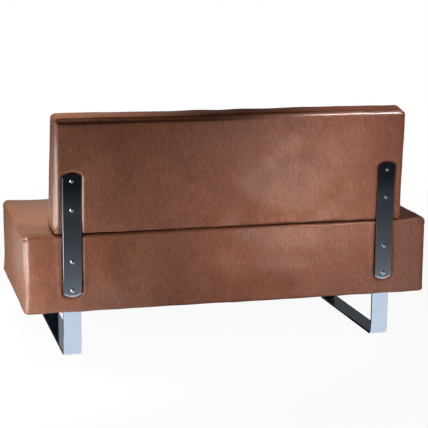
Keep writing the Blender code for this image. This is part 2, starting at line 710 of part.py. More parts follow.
def bent_path(corners):
    """Polyline through corners (y, z, radius), each rounded by an arc of its radius."""
    path = []
    for index, (y, z, radius) in enumerate(corners):
        corner = Vector((0, y, z))
        if radius == 0:
            path.append(corner)
            continue
        before = (Vector((0, *corners[index - 1][:2])) - corner).normalized()
        after = (Vector((0, *corners[index + 1][:2])) - corner).normalized()
        centre = corner + (before + after) * radius
        for step in range(BEND_STEPS + 1):
            angle = math.pi / 2 * step / BEND_STEPS
            path.append(centre - radius * (math.cos(angle) * after + math.sin(angle) * before))
    return path


def make_leg(label, side):
    """One flat bar: floor run, two uprights and two flanges turned in under the seat."""
    name = f"leg_{label}"
    front_end = LEG_FRONT + LEG_FLANGE_LENGTH
    rear_end = LEG_REAR - LEG_FLANGE_LENGTH
    corners = [(rear_end, LEG_HEIGHT, 0), (LEG_REAR, LEG_HEIGHT, LEG_TOP_RADIUS),
               (LEG_REAR, LEG_BOTTOM, LEG_FLOOR_RADIUS), (LEG_FRONT, LEG_BOTTOM, LEG_FLOOR_RADIUS),
               (LEG_FRONT, LEG_HEIGHT, LEG_TOP_RADIUS), (front_end, LEG_HEIGHT, 0)]
    form = bmesh.new()
    points = [form.verts.new(spot + Vector((-LEG_BAR_WIDTH / 2, 0, 0))) for spot in bent_path(corners)]
    edges = [form.edges.new(pair) for pair in zip(points, points[1:])]
    strip = bmesh.ops.extrude_edge_only(form, edges=edges)["geom"]
    far = [item for item in strip if isinstance(item, bmesh.types.BMVert)]
    bmesh.ops.translate(form, vec=(LEG_BAR_WIDTH, 0, 0), verts=far)
    mesh = mesh_from(name, form)
    shade_round(mesh)
    leg = make_part(name, mesh, CHROME, SOFA, (side * SUPPORT_X, 0, 0))
    wall = leg.modifiers.new("bar_thickness", "SOLIDIFY")
    wall.thickness = LEG_BAR_THICKNESS
    wall.offset = -1.0
    wall.use_even_offset = True
    round_edges(leg, LEG_EDGE_ROUND)
    places = [place for place in leg_screw_places(LEG_HEIGHT) if place[0] * side > 0]
    cut(leg, hole_cutter(f"{name}_holes", places, "Z", SCREW_DIAMETER + 2 * BORE_GAP,
                         4 * LEG_BAR_THICKNESS))


def make_leg_screws():
    head_seat = LEG_HEIGHT - LEG_BAR_THICKNESS - FIT_GAP
    length = RAIL_BOTTOM + SCREW_GRIP - head_seat
    screw = fastener_mesh("leg_screw", SCREW_SIZES, length)
    names = [f"leg_screw_{label}_{end}_{spot}" for label, _ in SIDES for end in ("rear", "front")
             for spot in ("outer", "inner")]
    for name, (x, y, _) in zip(names, leg_screw_places(0.0)):
        make_part(name, screw, ZINC, SOFA, (x, y, head_seat), (math.pi, 0, 0))


def make_glides():
    radius = GLIDE_DIAMETER / 2
    edge = GLIDE_THICKNESS * 0.4
    profile = [(0.0, GLIDE_THICKNESS), (radius, GLIDE_THICKNESS), (radius, edge), (radius - edge, 0.0),
               (0.0, 0.0)]
    glide = turned_mesh("glide", profile, PLASTIC)
    shade_round(glide)
    for label, side in SIDES:
        for end, y in (("front", LEG_FRONT + GLIDE_END_DISTANCE), ("rear", LEG_REAR - GLIDE_END_DISTANCE)):
            make_part(f"glide_{end}_{label}", glide, PLASTIC, SOFA, (side * SUPPORT_X, y, 0.0))


make_seat_upholstery()
make_seat_frame()
make_back()
for side_label, side_sign in SIDES:
    make_back_bar(side_label, side_sign)
    make_leg(side_label, side_sign)
make_bar_fasteners()
make_leg_screws()
make_glides()
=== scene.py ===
"""Looks of the waiting room sofa: upholstery, seams, metal, stage, light and camera."""
import json
import math

import bmesh
import bpy
import numpy as np
from mathutils import Matrix, Vector
from mathutils.kdtree import KDTree


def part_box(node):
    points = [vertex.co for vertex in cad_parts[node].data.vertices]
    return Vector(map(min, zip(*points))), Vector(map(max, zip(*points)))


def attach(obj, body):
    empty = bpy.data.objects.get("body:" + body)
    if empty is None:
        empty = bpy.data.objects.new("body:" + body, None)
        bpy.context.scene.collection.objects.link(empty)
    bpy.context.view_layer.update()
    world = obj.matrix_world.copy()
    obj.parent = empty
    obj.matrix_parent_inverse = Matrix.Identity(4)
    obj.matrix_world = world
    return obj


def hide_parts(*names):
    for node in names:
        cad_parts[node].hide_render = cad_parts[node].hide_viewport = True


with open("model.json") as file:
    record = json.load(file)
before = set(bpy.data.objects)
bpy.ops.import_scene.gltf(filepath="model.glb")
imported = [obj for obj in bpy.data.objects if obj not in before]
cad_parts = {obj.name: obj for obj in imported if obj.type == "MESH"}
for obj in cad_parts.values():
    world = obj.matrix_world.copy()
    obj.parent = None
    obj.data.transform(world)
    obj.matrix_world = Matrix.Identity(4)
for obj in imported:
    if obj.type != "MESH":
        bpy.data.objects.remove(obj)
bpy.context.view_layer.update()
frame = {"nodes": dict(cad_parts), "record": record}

scene = bpy.context.scene
nodes = frame["nodes"]

# Sizes of the solids, in metres
SEAT_HALF_X = 0.700
SEAT_FRONT, SEAT_REAR = -0.33597, 0.31903
SEAT_LOW, SEAT_TOP = 0.1589, 0.4210
BACK_HALF_X = 0.600
BACK_REAR, BACK_BOTTOM = 0.31618, 0.4226
BACK_HEIGHT = 0.378
BACK_TOP_THICK, BACK_LOW_THICK = 0.078, 0.165
BACK_RISE = 0.013
RECLINE = math.radians(3.0)
BAR_X, BAR_HALF = 0.546, 0.030
BAR_LOW, BAR_BEND = 0.2106, 0.477
BAR_ABOVE_BEND = 0.1476
BAR_END_RISE = 0.012
ROLL = 0.015
LOW_ROLL = 0.005
LOW_ROLL_EASE = 0.1
# Grid lines over a rolled edge, and the angle between them in degrees
ROLL_LINES, ROLL_ANGLE = 6, 9.0
SMALLEST_GAP = 0.0005


# Lattice helpers

def grid_lines(low, high, roll, marks=(), pitch=0.012):
    """Grid lines along one axis: fine over the rolled edges and at each mark, even between them."""
    lines = []
    for step in range(ROLL_LINES):
        reach = roll * (1 - math.tan(math.radians(ROLL_ANGLE * step)))
        lines += [low + reach, high - reach]
    for centre, half, fine in marks:
        count = int(round(half / fine))
        lines += [centre + fine * step for step in range(-count, count + 1)]
    lines = sorted(line for line in lines if low - 1e-9 <= line <= high + 1e-9)
    kept = [lines[0]]
    for line in lines[1:]:
        gap = line - kept[-1]
        if gap < SMALLEST_GAP and line < high - 1e-6:
            continue
        extra = int(gap / pitch)
        start = kept[-1]
        kept += [start + gap * (step + 1) / (extra + 1) for step in range(extra)]
        kept.append(line)
    return np.array(kept)


def box_lattice(xs, ys, zs):
    """Closed surface of a box: lattice points and quads that face out."""
    lines = (xs, ys, zs)
    last = [len(line) - 1 for line in lines]
    index, points, quads = {}, [], []

    def spot(key):
        if key not in index:
            index[key] = len(points)
            points.append((xs[key[0]], ys[key[1]], zs[key[2]]))
        return index[key]

    for axis in range(3):
        u, v = (axis + 1) % 3, (axis + 2) % 3
        for side in (0, last[axis]):
            for a in range(last[u]):
                for b in range(last[v]):
                    corners = []
                    for da, db in ((0, 0), (1, 0), (1, 1), (0, 1)):
                        key = [side, side, side]
                        key[u], key[v] = a + da, b + db
                        corners.append(spot(tuple(key)))
                    quads.append(corners if side else corners[::-1])
    return np.array(points), quads


def rolled(points, low, high, roll):
    """Rounds the box's edges with one radius; returns the points and their normals."""
    low, high = np.array(low), np.array(high)
    inner = np.clip(points, low + roll, high - roll)
    out = points - inner
    normal = out / np.linalg.norm(out, axis=1, keepdims=True)
    return inner + roll * normal, normal


def tightened(height, low):
    """Gives the lower edge a smaller roll than the others, easing out further up."""
    inside = low + (height - low) * LOW_ROLL / ROLL
    above = height - (ROLL - LOW_ROLL) * (1 - np.clip((height - low - ROLL) / LOW_ROLL_EASE, 0, 1))
    return np.where(height < low + ROLL, inside, above)


def smooth(low, high, value):
    """Eases from 0 at low to 1 at high; high may be the smaller one."""
    share = np.clip((value - low) / (high - low), 0.0, 1.0)
    return share * share * (3 - 2 * share)


def waves(a, b, seed, size):
    """Even smooth noise, about -1 to 1, with a typical wavelength of size."""
    draw = np.random.default_rng(seed)
    total = np.zeros_like(a)
    for _ in range(9):
        angle, phase = draw.uniform(0, 2 * math.pi, 2)
        stretch = draw.uniform(0.6, 1.7)
        along = a * math.cos(angle) + b * math.sin(angle)
        total += np.sin(2 * math.pi * along * stretch / size + phase)
    return total / 4.0


def bell(distance, width):
    """One at no distance, falling off over the width."""
    return np.exp(-(distance / width) ** 2)


def linked(name, data):
    """An object for a mesh, a lamp or a camera, linked to the scene."""
    made = bpy.data.objects.new(name, data)
    scene.collection.objects.link(made)
    return made


def make_piece(name, points, quads, material, painted_shade=None):
    """A smooth piece; the painted shade value at each point darkens the leather there."""
    mesh = bpy.data.meshes.new(name)
    mesh.from_pydata(points.tolist(), [], quads)
    mesh.materials.append(material)
    if painted_shade is not None:
        shade = mesh.attributes.new("painted_shade", "FLOAT", "POINT")
        shade.data.foreach_set("value", np.clip(painted_shade, 0.0, 1.0).astype(np.float32))
    mesh.shade_smooth()
    mesh.update()
    return linked(name, mesh)


# Materials

WHITE = (1.0, 1.0, 1.0)
# Sockets of a mix node, which differ by kind of data
MIX_SHARE, MIX_FLOATS, MIX_COLOURS, MIXED_FLOAT, MIXED_COLOUR = 0, (2, 3), (6, 7), 0, 2


def new_material(name):
    material = bpy.data.materials.new(name)
    material.use_nodes = True
    tree = material.node_tree
    return material, tree, tree.nodes["Principled BSDF"]


def bare_material(name):
    """A material without the usual shader, for surfaces of the stage."""
    material, tree, shader = new_material(name)
    tree.nodes.remove(shader)
    return material, tree


def add(tree, kind, **values):
    """A new node; a value goes to the input or the setting of its name."""
    made = tree.nodes.new(kind)
    for key, value in values.items():
        if key in made.inputs:
            made.inputs[key].default_value = value
        else:
            setattr(made, key, value)
    return made


def placed(tree, scale):
    """Object coordinates in metres, scaled on each axis."""
    where = add(tree, "ShaderNodeTexCoord")
    mapping = add(tree, "ShaderNodeMapping", Scale=scale)
    tree.links.new(where.outputs["Object"], mapping.inputs["Vector"])
    return mapping.outputs["Vector"]


def noise(tree, scale, stretch=(1, 1, 1), detail=3.0, rough=0.55):
    made = add(tree, "ShaderNodeTexNoise", Scale=scale, Detail=detail, Roughness=rough)
    tree.links.new(placed(tree, stretch), made.inputs["Vector"])
    return made.outputs["Fac"]


def blend(tree, first, second, share):
    """Two values mixed by a fixed share of the second."""
    made = add(tree, "ShaderNodeMix", data_type="FLOAT")
    made.inputs[MIX_SHARE].default_value = share
    tree.links.new(first, made.inputs[MIX_FLOATS[0]])
    tree.links.new(second, made.inputs[MIX_FLOATS[1]])
    return made.outputs[MIXED_FLOAT]


def reckon(tree, operation, first, second):
    made = add(tree, "ShaderNodeMath", operation=operation)
    tree.links.new(first, made.inputs[0])
    tree.links.new(second, made.inputs[1])
    return made.outputs[0]


def show(tree, output, share, first, second):
    """Shows two shaders mixed by a share of the second."""
    mixed = add(tree, "ShaderNodeMixShader")
    tree.links.new(share, mixed.inputs[0])
    tree.links.new(first.outputs[0], mixed.inputs[1])
    tree.links.new(second.outputs[0], mixed.inputs[2])
    tree.links.new(mixed.outputs[0], tree.nodes[output].inputs["Surface"])


def toward(tree, colour, goal, share):
    """A colour that goes over to a plain one by a share that varies."""
    made = add(tree, "ShaderNodeMix", data_type="RGBA")
    tree.links.new(share, made.inputs[MIX_SHARE])
    tree.links.new(colour, made.inputs[MIX_COLOURS[0]])
    made.inputs[MIX_COLOURS[1]].default_value = (*goal, 1.0)
    return made.outputs[MIXED_COLOUR]


def ramp(tree, value, stops):
    """Colour of a value, between stops of place and colour."""
    made = add(tree, "ShaderNodeValToRGB")
    bar = made.color_ramp
    while len(bar.elements) < len(stops):
        bar.elements.new(0.5)
    for element, (place, colour) in zip(bar.elements, stops):
        element.position = place
        element.color = (*colour, 1.0)
    tree.links.new(value, made.inputs["Fac"])
    return made.outputs["Color"]


def spread(tree, value, low, high, start=0.3, end=0.7):
    """A value between start and end, mapped to low and high."""
    made = add(tree, "ShaderNodeMapRange")
    for key, number in (("From Min", start), ("From Max", end), ("To Min", low), ("To Max", high)):
        made.inputs[key].default_value = number
    tree.links.new(value, made.inputs["Value"])
    return made.outputs["Result"]


def bump(tree, height, strength, distance, below=None):
    made = add(tree, "ShaderNodeBump", Strength=strength, Distance=distance)
    tree.links.new(height, made.inputs["Height"])
    if below is not None:
        tree.links.new(below, made.inputs["Normal"])
    return made.outputs["Normal"]


def make_leatherette():
    """Streaked brown leather; the painted shade value on the mesh darkens it and takes its gloss away."""
    material, tree, shader = new_material("brown_leatherette")
    streaks = noise(tree, 1.0, (180, 180, 38), 3.0, 0.6)
    cloudy = noise(tree, 7.0, (1, 1, 0.8), 3.0, 0.6)
    grain = noise(tree, 260.0, (1, 1, 0.8), 3.0, 0.65)
    brushed = noise(tree, 1.0, (14, 60, 14), 3.0, 0.6)
    tone = blend(tree, blend(tree, blend(tree, streaks, cloudy, 0.42), grain, 0.50), brushed, 0.08)
    colour = ramp(tree, tone, ((0.37, (0.118, 0.036, 0.019)), (0.50, (0.200, 0.065, 0.034)),
                               (0.63, (0.300, 0.106, 0.058))))
    painted_shade = add(tree, "ShaderNodeAttribute", attribute_name="painted_shade")
    # Painted shade: the leather goes over to near black where the painted shade value is high.
    colour = toward(tree, colour, (0.016, 0.005, 0.003), painted_shade.outputs["Fac"])
    tree.links.new(colour, shader.inputs["Base Color"])
    tree.links.new(spread(tree, blend(tree, streaks, grain, 0.5), 0.33, 0.47), shader.inputs["Roughness"])
    pebble = add(tree, "ShaderNodeTexVoronoi", Scale=620.0, feature="SMOOTH_F1")
    tree.links.new(placed(tree, (1, 1, 1)), pebble.inputs["Vector"])
    coarse = bump(tree, pebble.outputs["Distance"], 0.30, 0.0005)
    tree.links.new(bump(tree, streaks, 0.10, 0.0006, coarse), shader.inputs["Normal"])
    tree.links.new(spread(tree, painted_shade.outputs["Fac"], 0.48, 0.03, 0.1, 0.8),
                   shader.inputs["Specular IOR Level"])
    tree.links.new(spread(tree, painted_shade.outputs["Fac"], 0.40, 0.0, 0.1, 0.7), shader.inputs["Coat Weight"])
    shader.inputs["Coat Roughness"].default_value = 0.16
    return material


def make_thread():
    material, tree, shader = new_material("brown_thread")
    twist = noise(tree, 1.0, (900, 900, 900), 2.0)
    tree.links.new(ramp(tree, twist, ((0.3, (0.16, 0.07, 0.045)), (0.7, (0.34, 0.19, 0.14)))),
                   shader.inputs["Base Color"])
    tree.links.new(spread(tree, twist, 0.45, 0.65), shader.inputs["Roughness"])
    return material


def make_metal(name, dark, light, rough_low, rough_high, waviness, painted_reflection=None):
    """Plated metal; a painted reflection makes it darker towards the top between two heights."""
    material, tree, shader = new_material(name)
    cloud = noise(tree, 22.0, (1, 1, 1), 4.0, 0.6)
    fine = noise(tree, 420.0, (1, 1, 1), 3.0, 0.6)
    colour = ramp(tree, blend(tree, cloud, fine, 0.5), ((0.3, dark), (0.7, light)))
    # Painted reflection: the colour darkens towards the top, from the low height to the high one.
    if painted_reflection is not None:
        low, high, deep = painted_reflection
        axes = add(tree, "ShaderNodeSeparateXYZ")
        tree.links.new(placed(tree, (1, 1, 1)), axes.inputs[0])
        colour = toward(tree, colour, deep, spread(tree, axes.outputs["Z"], 0.0, 1.0, low, high))
    tree.links.new(colour, shader.inputs["Base Color"])
    tree.links.new(spread(tree, blend(tree, fine, cloud, 0.4), rough_low, rough_high),
                   shader.inputs["Roughness"])
    tree.links.new(bump(tree, cloud, 0.08, waviness), shader.inputs["Normal"])
    shader.inputs["Metallic"].default_value = 1.0
    return material


def make_plain(name, dark, light, scale, rough_low, rough_high, relief, gloss=0.5):
    """Cloth, plastic or foam: two tones, uneven gloss and a fine relief."""
    material, tree, shader = new_material(name)
    fine = noise(tree, scale, (1, 1, 1), 4.0, 0.6)
    cloud = noise(tree, 9.0, (1, 1, 1), 3.0)
    tree.links.new(ramp(tree, blend(tree, fine, cloud, 0.35), ((0.3, dark), (0.7, light))),
                   shader.inputs["Base Color"])
    tree.links.new(spread(tree, fine, rough_low, rough_high), shader.inputs["Roughness"])
    tree.links.new(bump(tree, fine, 0.4, relief), shader.inputs["Normal"])
    shader.inputs["Specular IOR Level"].default_value = gloss
    return material


def make_wood(name, dark, light, stretch):
    material, tree, shader = new_material(name)
    rings = add(tree, "ShaderNodeTexWave", Scale=1.0, Distortion=5.0, Detail=3.0)
    tree.links.new(placed(tree, stretch), rings.inputs["Vector"])
    fibre = noise(tree, 1.0, tuple(8 * share for share in stretch), 3.0)
    tone = blend(tree, rings.outputs["Fac"], fibre, 0.5)
    tree.links.new(ramp(tree, tone, ((0.2, dark), (0.8, light))), shader.inputs["Base Color"])
    tree.links.new(spread(tree, fibre, 0.55, 0.75), shader.inputs["Roughness"])
    tree.links.new(bump(tree, fibre, 0.3, 0.0004), shader.inputs["Normal"])
    return material


LEATHER = make_leatherette()
THREAD = make_thread()
CHROME = make_metal("chrome", (0.68, 0.78, 0.91), (0.76, 0.86, 0.98), 0.05, 0.11, 0.0006)
# The bars' colour is painted darker towards the top between 0.42 m and 0.58 m high, a painted reflection of
# the dark room.
SATIN = make_metal("satin_chrome", (0.47, 0.51, 0.58), (0.55, 0.59, 0.67), 0.12, 0.18, 0.0006,
                   (0.42, 0.58, (0.11, 0.145, 0.19)))
ZINC = make_metal("zinc_steel", (0.62, 0.63, 0.65), (0.80, 0.81, 0.83), 0.16, 0.30, 0.0004)
LINING = make_plain("black_lining", (0.003, 0.003, 0.004), (0.010, 0.010, 0.011), 700.0, 0.8, 0.95, 0.0004,
                    gloss=0.05)
PLASTIC = make_plain("black_plastic", (0.020, 0.020, 0.021), (0.040, 0.040, 0.042), 500.0, 0.4, 0.55, 0.0002)
FOAM = make_plain("cream_foam", (0.66, 0.56, 0.34), (0.82, 0.74, 0.52), 400.0, 0.9, 0.98, 0.0006)
PINE = make_wood("pine", (0.48, 0.29, 0.14), (0.70, 0.50, 0.29), (3, 40, 40))
PLYWOOD = make_wood("birch_plywood", (0.56, 0.39, 0.22), (0.74, 0.58, 0.39), (2, 14, 30))

FINISHES = {"chrome": CHROME, "zinc_steel": ZINC, "lining": LINING, "plastic": PLASTIC, "foam": FOAM,
            "pine": PINE, "plywood": PLYWOOD, "leatherette": LEATHER}
for row in frame["record"]["subparts"]:
    part = nodes[row["node"]]
    part.data.materials.clear()
    part.data.materials.append(FINISHES[row["material_slot"]])


# Cuts that dress a bar's lower end: angle along its arc in degrees and depth in metres
BAR_CUTS = ((0.0, 0.0072), (-22.0, 0.0056), (22.0, 0.0056))
BAR_CUT_SLOPE = 0.47
BAR_EDGE = 0.0007


def polished(name, form, material, place, crisp=None):
    """The visible metal piece that stands for a solid; edges over the crisp angle aren't smoothed."""
    mesh = bpy.data.meshes.new(name + "_polished")
    form.to_mesh(mesh)
    form.free()
    mesh.materials.append(material)
    if crisp is not None:
        mesh.shade_smooth()
        mesh.set_sharp_from_angle(angle=crisp)
    piece = linked(name + "_polished", mesh)
    piece.matrix_world = place
    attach(piece, "root")
    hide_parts(name)


def make_bar(name):
    """The bar with softened edges and a sloping lower end, which catch the light."""
    form = bmesh.new()
    form.from_mesh(nodes[name].data)
    bmesh.ops.remove_doubles(form, verts=form.verts, dist=1e-6)
    bmesh.ops.dissolve_limit(form, angle_limit=math.radians(1.0), verts=form.verts, edges=form.edges)
    outer = max(vert.co.y for vert in form.verts if vert.co.z < BAR_LOW + 0.02)
    middle = sum(vert.co.x for vert in form.verts) / len(form.verts)
    radius = (BAR_HALF ** 2 + BAR_END_RISE ** 2) / (2 * BAR_END_RISE)
    for angle, depth in BAR_CUTS:
        turn = math.radians(angle)
        reach = radius - depth
        place = (middle + reach * math.sin(turn), outer, BAR_LOW + radius - reach * math.cos(turn))
        slope = (BAR_CUT_SLOPE * math.sin(turn), 1.0, -BAR_CUT_SLOPE * math.cos(turn))
        whole = form.verts[:] + form.edges[:] + form.faces[:]
        cut = bmesh.ops.bisect_plane(form, geom=whole, clear_outer=True, plane_co=place, plane_no=slope)
        rim = [edge for edge in cut["geom_cut"] if isinstance(edge, bmesh.types.BMEdge)]
        bmesh.ops.edgeloop_fill(form, edges=rim)
    sharp = [edge for edge in form.edges if edge.calc_face_angle(0.0) > math.radians(40.0)]
    bmesh.ops.bevel(form, geom=sharp, offset=BAR_EDGE, segments=2, profile=0.5, affect="EDGES",
                    clamp_overlap=True)
    polished(name, form, SATIN, nodes[name].matrix_world.copy())


LEG_THICK, LEG_EDGE = 0.008, 0.0009
LEG_FLOOR_BEND = 0.024
LEG_FLANGE = 0.120


def bent_line(corners, steps=10):
    """Outer line of a bent bar in the y-z plane, with the inward direction at each point."""
    places, inward = [], []
    for index, (spot, radius) in enumerate(corners):
        spot = np.array(spot)
        before = np.array(corners[index - 1][0]) if index else None
        after = np.array(corners[index + 1][0]) if index + 1 < len(corners) else None
        come = (spot - before) / np.linalg.norm(spot - before) if index else None
        leave = (after - spot) / np.linalg.norm(after - spot) if after is not None else None
        if come is None or leave is None:
            along = leave if come is None else come
            places.append(spot)
            inward.append(np.array((along[1], -along[0])))
            continue
        if not radius:
            places.append(spot)
            inward.append(np.array((come[1] + leave[1], -come[0] - leave[0])))
            continue
        centre = spot - come * radius + leave * radius
        for step in range(steps + 1):
            turn = math.pi / 2 * step / steps
            out = come * math.sin(turn) - leave * math.cos(turn)
            places.append(centre + radius * out)
            inward.append(-out)
    return places, inward


def make_leg(name):
    """Sled leg from one bent flat bar with eased edges; its flanges are plain, without screw holes."""
    (left, front, low), (right, rear, high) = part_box(name)
    corners = [((rear - LEG_FLANGE, high), 0), ((rear, high), 0), ((rear, low), LEG_FLOOR_BEND),
               ((front, low), LEG_FLOOR_BEND), ((front, high), 0), ((front + LEG_FLANGE, high), 0)]
    places, inward = bent_line(corners)
    inner = LEG_THICK - LEG_EDGE
    section = [(left + LEG_EDGE, 0), (right - LEG_EDGE, 0), (right, LEG_EDGE), (right, inner),
               (right - LEG_EDGE, LEG_THICK), (left + LEG_EDGE, LEG_THICK), (left, inner), (left, LEG_EDGE)]
    points = [(x, *(place + depth * inside)) for place, inside in zip(places, inward)
              for x, depth in section]
    count = len(section)
    quads = []
    for ring in range(len(places) - 1):
        for side in range(count):
            a, b = ring * count + side, ring * count + (side + 1) % count
            quads.append((a, b, b + count, a + count))
    last = (len(places) - 1) * count
    quads += [tuple(range(count))[::-1], tuple(range(last, last + count))]
    form = bmesh.new()
    verts = [form.verts.new(point) for point in points]
    for quad in quads:
        form.faces.new([verts[index] for index in quad])
    bmesh.ops.recalc_face_normals(form, faces=form.faces)
    polished(name, form, CHROME, Matrix.Identity(4), crisp=math.radians(30.0))


for side in ("left", "right"):
    make_bar("back_bar_" + side)
    make_leg("leg_" + side)


# Upholstery

SEAM_SETBACK = 0.001
SEAM_WIDTH = 0.0019
GROOVE_REACH = 0.0026
# Width of the painted shade beside a bar
BAR_SHADE = 0.0028
# Strength of the painted shade in the folds of puckers, and how fast the folds turn across
FOLD_SHADE, FOLD_TWIST = -300, 40
CROWN_EDGE = 4
# Fine grid lines beside a bar and a seam: reach on each side and pitch
BAR_GRID, SEAM_GRID = (0.022, 0.002), (0.0045, 0.0009)
WIDE_PITCH, FINE_PITCH = 0.010, 0.009
# Corners of the cushions before they are shaped; the back's are across, from the rear and up
BACK_BOX_DEPTH, BACK_PROUD = 0.120, 0.0065
SEAT_BOX = ((-SEAT_HALF_X, SEAT_FRONT, SEAT_LOW), (SEAT_HALF_X, SEAT_REAR, SEAT_TOP))
BACK_BOX = ((-BACK_HALF_X, 0.0, 0.0), (BACK_HALF_X, BACK_BOX_DEPTH, BACK_HEIGHT))
# Heights with fine grid lines: the bars' ends and the back's hem line, with reach and pitch
SEAT_MARKS = ((BAR_LOW, 0.018, 0.002),)
BACK_MARKS = ((0.202, 0.018, 0.002), (0.019, 0.004, 0.001))
# Height of the crown on the ends, the rear, the front and the top, in metres
SEAT_CROWNS = (0.005, 0.0035, 0.007, 0.010)
BACK_CROWNS = (0.003, 0.003, 0.012, 0.002)
# A roll is pulled a little flat where it's fullest; the place is measured along both faces
FLAT_DEPTH, FLAT_PLACE, FLAT_REACH = 0.0009, 0.0088, 0.0045
# Where a seam fades out: past the seam that it meets, and before it
FADE_AT_TOP, FADE_AT_SIDE = (0.003, 0.001), (0.002, 0.001)
SEAM_DEPTH, BACK_TOP_SEAM_DEPTH = 0.0022, 0.0026
# Darkness of the painted shade in the seams on the ends and on the top, and on the edge beside a bar
SEAT_SEAM_SHADES, BACK_SEAM_SHADES, BAR_EDGE_SHADE = (0.55, 0.75), (0.6, 0.8), 0.6
# Gathers at a sewn corner: reach, depth, folds in a turn and darkness of the painted shade in their folds
SEAT_PUCKERS, BACK_PUCKERS = (0.015, 0.0025, 8, 0.5), (0.014, 0.0013, 7, 0.4)
LOW_PUCKERS = (0.014, 0.0030, 8, 0.4)
# Unevenness all over, and longer waves on the rear
RIPPLE, LONG_RIPPLE = 0.0008, 0.0010
# Fullness of the ends, of their foot and of the hem: right end, then left end
SEAT_END_LIFT, BACK_END_LIFT = (0.0032, 0.0010), (0.0065, 0.0025)
SEAT_FOOT_LIFT, REAR_HEM_LIFT = (0.0012, 0.0036), (0.0042, 0.0030)
END_HEM_LIFT = 0.0040
# Seat: raised corners, hollow under the back, raised right edge and a dimple on the rear
EAR_LIFT, EAR_REACH = 0.0026, 0.06
REST_DEPTH = 0.0030
TOP_EDGE_LIFT, TOP_EDGE_REACH = 0.0060, 0.050
DIMPLE_DEPTH, DIMPLE_REACH, DIMPLE_X, DIMPLE_Z = 0.0012, 0.010, 0.09, 0.382
# Seat: leather pressed in by a bar, its lip, and the hollow below the bar's end
SEAT_PRESS, SEAT_PRESS_REACH, SEAT_LIP = 0.0054, 0.0062, 0.0016
BAR_FOOT_DEPTH = 0.0016
# Back: the same, with a lip that varies
BACK_PRESS_REACH, BACK_LIP, BACK_LIP_RIPPLE = 0.007, 0.0005, 0.0004
# Back: sagging top, uneven lower edge on the right, hem line and slack roll on the left, with painted shade
# in the slack roll
TOP_SAG = 0.0024
LOW_EDGE_RIPPLE = 0.0020
HEM_LINE_DEPTH, HEM_LINE_HEIGHT, HEM_LINE_WIDTH = 0.0009, 0.019, 0.0022
SLACK_DEPTH, SLACK_SHADE = 0.0010, 0.80


def bar_clearance(across, along, low, high):
    """Distance outside a bar's outline, with its shallow arcs at the ends; negative inside."""
    radius = (BAR_HALF ** 2 + BAR_END_RISE ** 2) / (2 * BAR_END_RISE)
    aside = np.abs(across) - BAR_HALF
    over = np.hypot(across, along - (high - radius)) - radius
    under = np.hypot(across, along - (low + radius)) - radius
    over = np.where(along > high - radius, over, along - high)
    under = np.where(along < low + radius, under, low - along)
    past = np.maximum(over, under)
    both = np.hypot(np.maximum(aside, 0.0), np.maximum(past, 0.0))
    return np.where((aside > 0) & (past > 0), both, np.maximum(aside, past))


def pressed(gap, depth, reach, lip):
    """Leather pressed in under a bar, rising steeply beside it to a soft lip."""
    outside = np.maximum(gap, 0.0)
    return -depth * np.exp(-(outside / reach) ** 1.6) + lip * bell(gap - 0.013, 0.007)


def seam(distance, along, seed, depth=SEAM_DEPTH):
    """Groove of a sewn seam, with a fuller roll beside it and small gathers along it."""
    gathers = 1.0 + 0.4 * waves(along, 0 * along, seed, 0.016)
    return -depth * bell(distance, SEAM_WIDTH) * gathers + 0.0006 * bell(distance, 0.007) * gathers


def puckers(painted_shade, across, along, height, reach, depth, folds, shade):
    """Small gathers that fan out from a sewn corner; returns them and the painted shade with their folds
    added.
    """
    away = np.sqrt(across ** 2 + along ** 2 + height ** 2)
    turn = folds * np.arctan2(height, along) + FOLD_TWIST * across
    relief = depth * np.exp(-away / reach) * np.cos(turn)
    return relief, np.maximum(painted_shade, np.clip(FOLD_SHADE * relief, 0, shade))


def sewn(lift, end, top, place, seams, seed, top_depth, shades):
    """Adds the seams round both ends and along the top; returns the relief and the painted shade in their
    grooves.
    """
    x, across, up = place
    rear, front, high = seams
    first, last = min(rear, front), max(rear, front)
    out, inside = FADE_AT_TOP
    below = smooth(high + out, high - inside, up)
    out, inside = FADE_AT_SIDE
    between = smooth(first - out, first + inside, across) * smooth(last + out, last - inside, across)
    lift += end * below * (seam(across - rear, up, seed + 1) + seam(across - front, up, seed + 2))
    lift += end * between * seam(up - high, across, seed + 3)
    lift += top * (seam(across - rear, x, seed + 4, top_depth) + seam(across - front, x, seed + 5))
    end_shade, top_shade = shades
    at_rear, at_front = bell(across - rear, GROOVE_REACH), bell(across - front, GROOVE_REACH)
    painted_shade = end_shade * end * np.maximum(below * at_rear, between * bell(up - high, GROOVE_REACH))
    painted_shade = np.maximum(painted_shade, end_shade * end * below * at_front)
    return lift, np.maximum(painted_shade, top_shade * top * np.maximum(at_rear, at_front))


def by_end(x, right, left):
    """One value on the right half of the sofa and another on the left."""
    return np.where(x < 0, right, left)


def crowned(value, low, high):
    """Flat-topped crown: one in the middle, nothing at both limits."""
    return 1 - np.abs((2 * value - low - high) / (high - low)) ** CROWN_EDGE


def facing(value):
    """Share of a surface that faces along an axis, from that part of its normal."""
    return np.clip(value, 0, 1) ** 2


def seat_faces(normal):
    """Shares of the ends, the rear, the front and the top at each point."""
    across, deep, up = normal.T
    return np.abs(across) ** 2, facing(deep), facing(-deep), facing(up)


